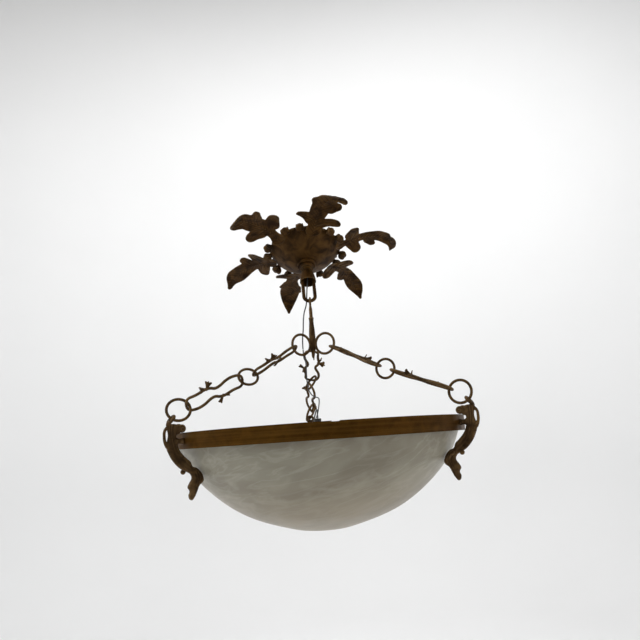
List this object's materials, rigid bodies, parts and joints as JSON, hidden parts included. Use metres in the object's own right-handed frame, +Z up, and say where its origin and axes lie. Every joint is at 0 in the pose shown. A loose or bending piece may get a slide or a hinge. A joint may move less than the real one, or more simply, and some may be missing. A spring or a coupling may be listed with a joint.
{
  "type": "alabaster bowl pendant light",
  "caption": "Hanging light with a veined stone bowl in a bronze hoop, carried by leafy link chains from a ringed stem under a leaf canopy.",
  "frame": {"origin": "centre of the front hook hole in the ceiling strap, which the whole light hangs from", "axes": "+Z up along the plumb line, +X to the right seen from the front, +Y away from the front; the seam notch of the band faces -Y and one chain faces +Y"},
  "size_m": [0.5199, 0.5541, 0.5825],
  "materials": {
    "patinated_bronze": "cast, dark olive-brown patina, waxed, lighter where handled",
    "leaf_bronze": "cast and chased, brown patina with lighter raised veins",
    "alabaster": "polished translucent alabaster, cloudy grey veins, warmer at the bottom",
    "zinc_steel": "zinc-plated, dull",
    "screw_brass": "turned, darkened",
    "spider_brass": "sheet, satin, unlacquered",
    "black_phenolic": "moulded, satin",
    "black_nylon": "moulded, matt",
    "white_nylon": "moulded, matt",
    "cap_metal": "rolled thread, bright",
    "frosted_glass": "etched inside, opal white",
    "flex_sheath": "smooth grey-black sheath"
  },
  "bodies": {
    "canopy": {"canopy_dome": "patinated_bronze", "canopy_leaf_front": "leaf_bronze", "canopy_leaf_right": "leaf_bronze", "canopy_leaf_rear_right": "leaf_bronze", "canopy_leaf_rear": "leaf_bronze", "canopy_leaf_rear_left": "leaf_bronze", "canopy_leaf_left": "leaf_bronze", "ceiling_strap": "zinc_steel", "threaded_tube": "zinc_steel", "tube_nuts": "zinc_steel", "terminal_block": "white_nylon", "canopy_collar": "patinated_bronze", "loop_bell": "patinated_bronze", "flex_canopy": "flex_sheath"},
    "stem": {"drop_stem": "patinated_bronze", "flex_stem": "flex_sheath"},
    "bowl": {"rim_band": "patinated_bronze", "rim_screws": "screw_brass", "alabaster_bowl": "alabaster", "bowl_arm_left": "patinated_bronze", "bowl_arm_right": "patinated_bronze", "bowl_arm_rear": "patinated_bronze", "lamp_spider": "spider_brass", "lamp_hub": "spider_brass", "cord_grip": "black_nylon", "lampholder_1": "black_phenolic", "lampholder_2": "black_phenolic", "lampholder_3": "black_phenolic", "bulb_cap_1": "cap_metal", "bulb_cap_2": "cap_metal", "bulb_cap_3": "cap_metal", "bulb_glass_1": "frosted_glass", "bulb_glass_2": "frosted_glass", "bulb_glass_3": "frosted_glass", "flex_bowl": "flex_sheath"},
    "link_upper_left": {"link_upper_left": "patinated_bronze"},
    "link_lower_left": {"link_lower_left": "patinated_bronze"},
    "ring_middle_left": {"ring_middle_left": "patinated_bronze"},
    "ring_end_left": {"ring_end_left": "patinated_bronze"},
    "link_upper_right": {"link_upper_right": "patinated_bronze"},
    "link_lower_right": {"link_lower_right": "patinated_bronze"},
    "ring_middle_right": {"ring_middle_right": "patinated_bronze"},
    "ring_end_right": {"ring_end_right": "patinated_bronze"},
    "link_upper_rear": {"link_upper_rear": "patinated_bronze"},
    "link_lower_rear": {"link_lower_rear": "patinated_bronze"},
    "ring_middle_rear": {"ring_middle_rear": "patinated_bronze"},
    "ring_end_rear": {"ring_end_rear": "patinated_bronze"}
  },
  "joints": [
    {"name": "stem_swing", "type": "hinge", "parent": "canopy", "child": "stem", "pos_m": [0, 0, -0.12642], "axis": [1, 0, 0], "range_deg": [-6, 6]},
    {"name": "bowl_turn", "type": "hinge", "parent": "stem", "child": "bowl", "pos_m": [0, 0, -0.21042], "axis": [0, 0, 1], "range_deg": [-2, 2]},
    {"name": "link_upper_left_roll", "type": "hinge", "parent": "bowl", "child": "link_upper_left", "pos_m": [-0.07158, -0.04133, -0.24039], "axis": [-0.7684, -0.4436, -0.4612], "range_deg": [-8, 8]},
    {"name": "link_lower_left_roll", "type": "hinge", "parent": "bowl", "child": "link_lower_left", "pos_m": [-0.17433, -0.10065, -0.29503], "axis": [-0.8019, -0.463, -0.3776], "range_deg": [-6, 6]},
    {"name": "ring_middle_left_spin", "type": "hinge", "parent": "bowl", "child": "ring_middle_left", "pos_m": [-0.11977, -0.06966, -0.26929], "axis": [0.201, -0.8298, 0.5206], "continuous": true},
    {"name": "ring_end_left_spin", "type": "hinge", "parent": "bowl", "child": "ring_end_left", "pos_m": [-0.23116, -0.131, -0.32185], "axis": [0.202, -0.9029, 0.3794], "continuous": true},
    {"name": "link_upper_right_roll", "type": "hinge", "parent": "bowl", "child": "link_upper_right", "pos_m": [0.07158, -0.04133, -0.24039], "axis": [0.7684, -0.4436, -0.4612], "range_deg": [-8, 8]},
    {"name": "link_lower_right_roll", "type": "hinge", "parent": "bowl", "child": "link_lower_right", "pos_m": [0.17433, -0.10065, -0.29503], "axis": [0.8019, -0.463, -0.3776], "range_deg": [-6, 6]},
    {"name": "ring_middle_right_spin", "type": "hinge", "parent": "bowl", "child": "ring_middle_right", "pos_m": [0.11994, -0.06925, -0.26942], "axis": [0.5, 0.866, 0], "continuous": true},
    {"name": "ring_end_right_spin", "type": "hinge", "parent": "bowl", "child": "ring_end_right", "pos_m": [0.23036, -0.133, -0.32142], "axis": [0.5, 0.866, 0], "continuous": true},
    {"name": "link_upper_rear_roll", "type": "hinge", "parent": "bowl", "child": "link_upper_rear", "pos_m": [0, 0.08266, -0.24039], "axis": [0, 0.8873, -0.4612], "range_deg": [-8, 8]},
    {"name": "link_lower_rear_roll", "type": "hinge", "parent": "bowl", "child": "link_lower_rear", "pos_m": [0, 0.2013, -0.29503], "axis": [0, 0.926, -0.3776], "range_deg": [-6, 6]},
    {"name": "ring_middle_rear_spin", "type": "hinge", "parent": "bowl", "child": "ring_middle_rear", "pos_m": [-0.00052, 0.13858, -0.26924], "axis": [-0.7431, 0.281, 0.6073], "continuous": true},
    {"name": "ring_end_rear_spin", "type": "hinge", "parent": "bowl", "child": "ring_end_rear", "pos_m": [0.00247, 0.26557, -0.32201], "axis": [-0.8387, 0.3209, 0.4401], "continuous": true}
  ]
}
